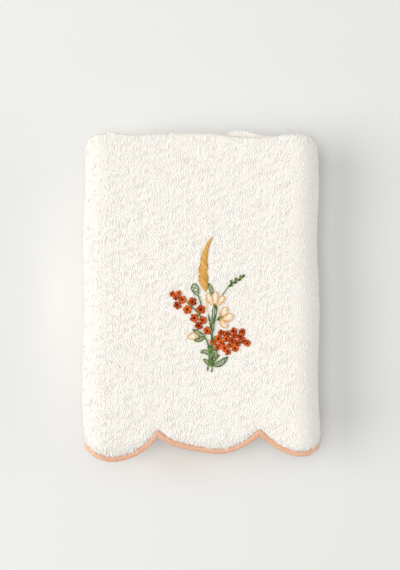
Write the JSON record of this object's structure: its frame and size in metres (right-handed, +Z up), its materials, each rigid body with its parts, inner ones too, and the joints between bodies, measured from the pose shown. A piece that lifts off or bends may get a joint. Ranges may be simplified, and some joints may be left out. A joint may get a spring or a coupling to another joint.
{
  "type": "hand towel",
  "caption": "Terry cotton hand towel with a scalloped, satin-stitched end and an embroidered posy, folded flat to lie on a shelf or washstand.",
  "frame": {"origin": "middle of the base of the folded bundle's box, on the surface that it lies on", "axes": "+X across the bundle to its right, +Y up its length from the scalloped end to the folded end, +Z up from the surface"},
  "size_m": [0.171, 0.2366, 0.0483],
  "materials": {
    "terry": "looped cotton pile, matt and soft",
    "embroidery_thread": "close satin stitch with a soft sheen"
  },
  "bodies": {
    "root": {"towel": "terry", "scallop_edging": "embroidery_thread"}
  },
  "joints": []
}
